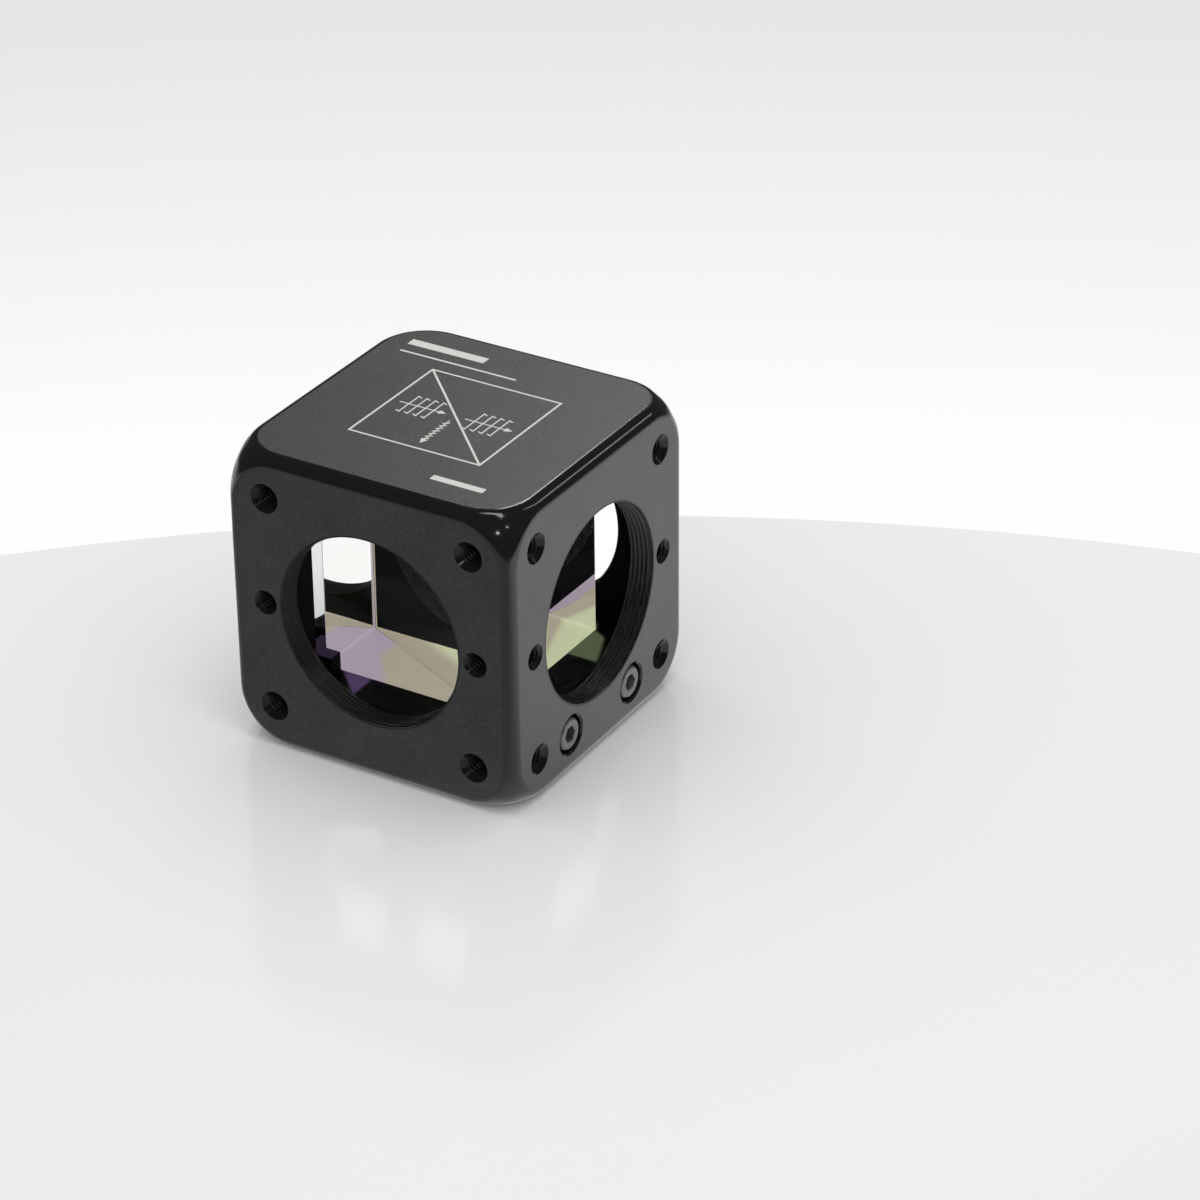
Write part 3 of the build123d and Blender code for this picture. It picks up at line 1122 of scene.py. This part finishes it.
def table_material():
    """The pale, faintly glossy table. Metal mirrors it as a painted reflection, bright behind the cube
    and dim in front, and it is white where the glass looks through to it, and a painted white glow lies
    on it in a patch behind the cube."""
    material, graph, surface = new_material("pale_table")
    place, parts = object_place(graph)
    cloud = graph.noise(place, 6.0, 2.0)
    colour = sizes().stage.table_colour
    dark, pale = [solid(scaled(colour, share)) for share in (0.99, 1.01)]
    paint = graph.blend(graph.ramp(cloud, 0.3, 0.7), dark, pale)
    shader = graph.node("ShaderNodeBsdfPrincipled", {"Base Color": paint, "Roughness": 0.12, "IOR": 1.5})
    # Painted reflection: for mirrored rays the table glows brighter behind the cube than in front.
    behind = graph.slope(parts, 0.52, 0.86)
    bright = graph.math("ADD", graph.ramp(behind, -0.02, 0.018, 0.38, 0.85),
                        graph.ramp(behind, 0.018, 0.050, 0.0, 0.15))
    sheen = graph.node("ShaderNodeEmission", {"Color": (0.98, 0.98, 1.0, 1.0), "Strength": bright})
    # Painted light: a patch on the table behind the cube glows white for every ray.
    across = graph.math("ABSOLUTE", graph.slope(parts, 0.903, 0.43, 0.0132))
    along = graph.math("ABSOLUTE", graph.slope(parts, -0.43, 0.903, 0.0458))
    painted_glow_patch = graph.math("MULTIPLY", graph.ramp(across, 0.0055, 0.0075, 1.0, 0.0),
                       graph.ramp(along, 0.013, 0.016, 1.0, 0.0))
    rays = graph.node("ShaderNodeLightPath").outputs
    white = graph.node("ShaderNodeEmission", {"Color": WHITE, "Strength": 1.0})
    mirrored = graph.node("ShaderNodeMixShader", {
        0: rays["Is Glossy Ray"], 1: shader.outputs[0], 2: sheen.outputs[0]})
    seen = graph.node("ShaderNodeMixShader", {
        0: graph.math("MAXIMUM", rays["Is Transmission Ray"], painted_glow_patch), 1: mirrored.outputs[0],
        2: white.outputs[0]})
    graph.tree.links.new(seen.outputs[0], surface)
    return material


def backdrop():
    """A pale backdrop, an even light from all round, and for mirrored rays a dim room with a pale
    wall behind the cube and a pale floor."""
    world = bpy.data.worlds.new("studio")
    bpy.context.scene.world = world
    world.use_nodes = True
    world.node_tree.nodes.clear()
    graph = Graph(world.node_tree)
    way = graph.node("ShaderNodeTexCoord").outputs["Generated"]
    tall = graph.split(way)[2]
    wall = graph.node("ShaderNodeVectorMath", {0: way, 1: (-0.445, 0.777, 0.445)},
                      operation="DOT_PRODUCT")
    room = graph.math("MAXIMUM", graph.ramp(wall.outputs["Value"], 0.966, 0.984, 0.06, 0.60),
                      graph.ramp(tall, -0.12, -0.30, 0.06, 0.95))
    rays = graph.node("ShaderNodeLightPath").outputs
    even = graph.mixed(rays["Is Glossy Ray"], 0.95, room)
    clear = graph.mixed(rays["Is Transmission Ray"], even, 1.0)
    seen = graph.mixed(rays["Is Camera Ray"], clear, graph.ramp(tall, -0.46, -0.37, 0.99, 0.79))
    shine = graph.node("ShaderNodeBackground", {"Color": WHITE, "Strength": seen})
    output = graph.node("ShaderNodeOutputWorld")
    graph.tree.links.new(shine.outputs[0], output.inputs["Surface"])


class BEAM_OT_stage(bpy.types.Operator):
    """Set the table, the backdrop, the lights and the camera"""
    bl_idname = "beamsplitter.stage"
    bl_label = "Stage"

    def execute(self, context):
        stage = sizes().stage
        floor = -sizes().housing.side / 2
        bm = bmesh.new()
        centre = Matrix.Translation((*TABLE_PLACE, floor - 0.00001))
        lathe(bm, centre, [(0, -0.012), (stage.table - 0.002, -0.012), (stage.table, -0.010),
                           (stage.table, -0.0006), (stage.table - 0.0006, 0), (0, 0)], 256)
        table = add_object("table_top", mesh_from(bm, "table_top"))
        table.data.shade_smooth()
        table.data.set_sharp_from_angle(angle=math.radians(20))
        table.data.materials.append(table_material())
        backdrop()
        lit = bpy.data.collections.new("lit_by_lamps")
        for piece in context.scene.objects:
            if piece.type == "MESH" and piece != table and not piece.name.endswith("_prism"):
                lit.objects.link(piece)
        strip_lamp("soft_lamp", (-0.10, -0.03, 0.99), (0.38, -0.14, 0.91), stage.lamp_reach, 0.12,
                   stage.soft)
        for name, start, end, wide, power, share in LAMPS:
            strip_lamp(name, start, end, stage.lamp_reach, wide, getattr(stage, power) / share, lit)
        right, up, back = camera_axes()
        camera = bpy.data.cameras.new("photo_camera")
        camera.sensor_fit = "HORIZONTAL"
        camera.sensor_width = 36.0
        camera.lens = CAMERA_FOCAL * camera.sensor_width / FRAME_WIDTH
        camera.clip_start = 0.01
        camera.clip_end = 20.0
        eye = bpy.data.objects.new("photo_camera", camera)
        context.scene.collection.objects.link(eye)
        turned = Matrix((right, up, back)).transposed().to_4x4()
        eye.matrix_world = Matrix.Translation(CAMERA_PLACE) @ turned
        context.scene.camera = eye
        context.scene.view_settings.view_transform = "Standard"
        return {"FINISHED"}


def camera_axes():
    """The camera's right, up and back directions."""
    turn, rise, roll = (math.radians(angle) for angle in CAMERA_TURN)
    back = Vector((math.sin(turn) * math.cos(rise), -math.cos(turn) * math.cos(rise), math.sin(rise)))
    right = Vector((math.cos(turn), math.sin(turn), 0))
    up = back.cross(right)
    return (right * math.cos(roll) + up * math.sin(roll),
            up * math.cos(roll) - right * math.sin(roll), back)


STEPS = ("housing", "threads", "screws", "glass", "platform", "marks", "stage")


class BEAM_PT_panel(bpy.types.Panel):
    """The cube's pieces and sizes"""
    bl_label = "Beamsplitter"
    bl_idname = "BEAM_PT_panel"
    bl_space_type = "VIEW_3D"
    bl_region_type = "UI"
    bl_category = "Beamsplitter"

    def draw(self, context):
        layout = self.layout
        for step in STEPS:
            layout.operator("beamsplitter." + step)
        groups = context.scene.beamsplitter
        for group in groups.bl_rna.properties:
            if group.type != "POINTER" or group.identifier == "rna_type":
                continue
            box = layout.box()
            box.label(text=group.name)
            part = getattr(groups, group.identifier)
            for item in part.bl_rna.properties:
                if item.identifier not in ("rna_type", "name"):
                    box.prop(part, item.identifier)


CLASSES = (
    BEAM_PG_housing, BEAM_PG_thread, BEAM_PG_screw, BEAM_PG_glass, BEAM_PG_pad, BEAM_PG_finish,
    BEAM_PG_marks, BEAM_PG_stage, BEAM_PG_all, BEAM_OT_housing, BEAM_OT_threads, BEAM_OT_screws,
    BEAM_OT_glass, BEAM_OT_platform, BEAM_OT_marks, BEAM_OT_stage, BEAM_PT_panel)


def register():
    """Register the classes and hang the sizes on the scene."""
    for item in CLASSES:
        bpy.utils.register_class(item)
    bpy.types.Scene.beamsplitter = bpy.props.PointerProperty(type=BEAM_PG_all)


def unregister():
    """Take the sizes and the classes away again."""
    del bpy.types.Scene.beamsplitter
    for item in reversed(CLASSES):
        bpy.utils.unregister_class(item)


def main():
    """Build every piece in order."""
    register()
    for step in STEPS:
        getattr(bpy.ops.beamsplitter, step)()


if __name__ == "__main__":
    main()
